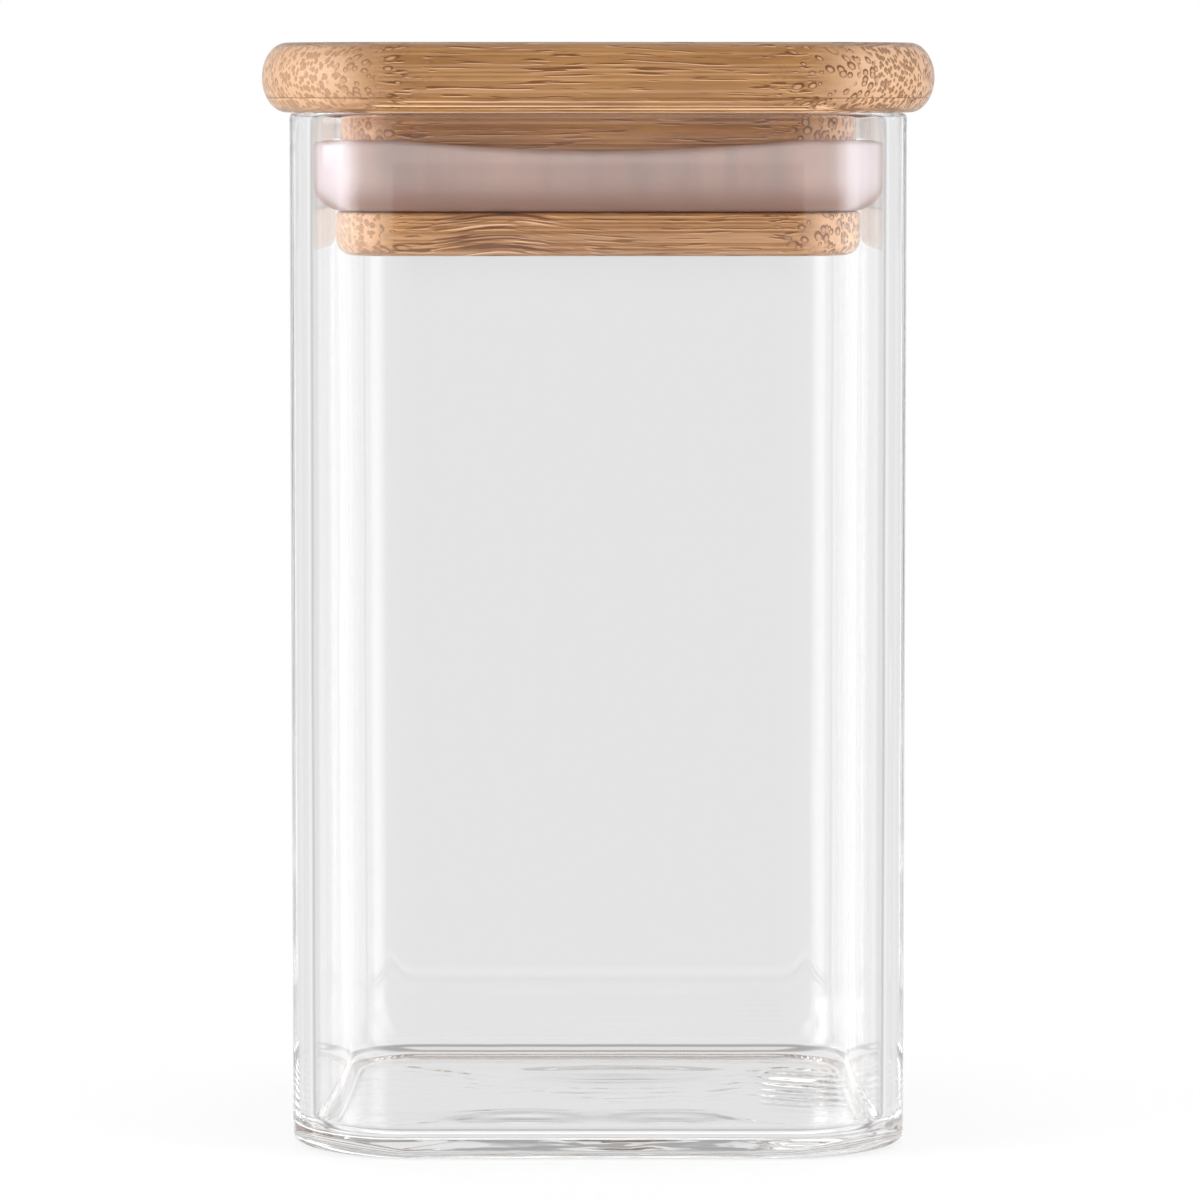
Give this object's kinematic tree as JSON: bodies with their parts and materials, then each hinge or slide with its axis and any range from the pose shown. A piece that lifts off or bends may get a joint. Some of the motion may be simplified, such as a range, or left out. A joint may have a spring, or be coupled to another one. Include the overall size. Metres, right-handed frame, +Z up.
{
  "type": "food canister",
  "caption": "Square clear glass storage jar with rounded corners and a push-in bamboo lid that carries a silicone seal ring.",
  "frame": {"origin": "middle of the jar's base, on the surface that it stands on", "axes": "+Z up, the way the lid lifts out; X and Y along the jar's sides, with the bamboo's grain along X"},
  "size_m": [0.0926, 0.0926, 0.1526],
  "materials": {
    "glass": "clear polished borosilicate glass",
    "bamboo": "satin oiled bamboo, grain along X",
    "silicone": "milky translucent silicone, soft satin"
  },
  "bodies": {
    "jar": {"glass_jar": "glass"},
    "lid": {"lid_top_ply": "bamboo", "lid_bottom_ply": "bamboo", "plug_neck": "bamboo", "plug_base": "bamboo", "seal_ring": "silicone"}
  },
  "joints": [
    {"name": "lid_lift", "type": "slide", "parent": "jar", "child": "lid", "axis": [0, 0, 1], "range_m": [0, 0.04]}
  ]
}
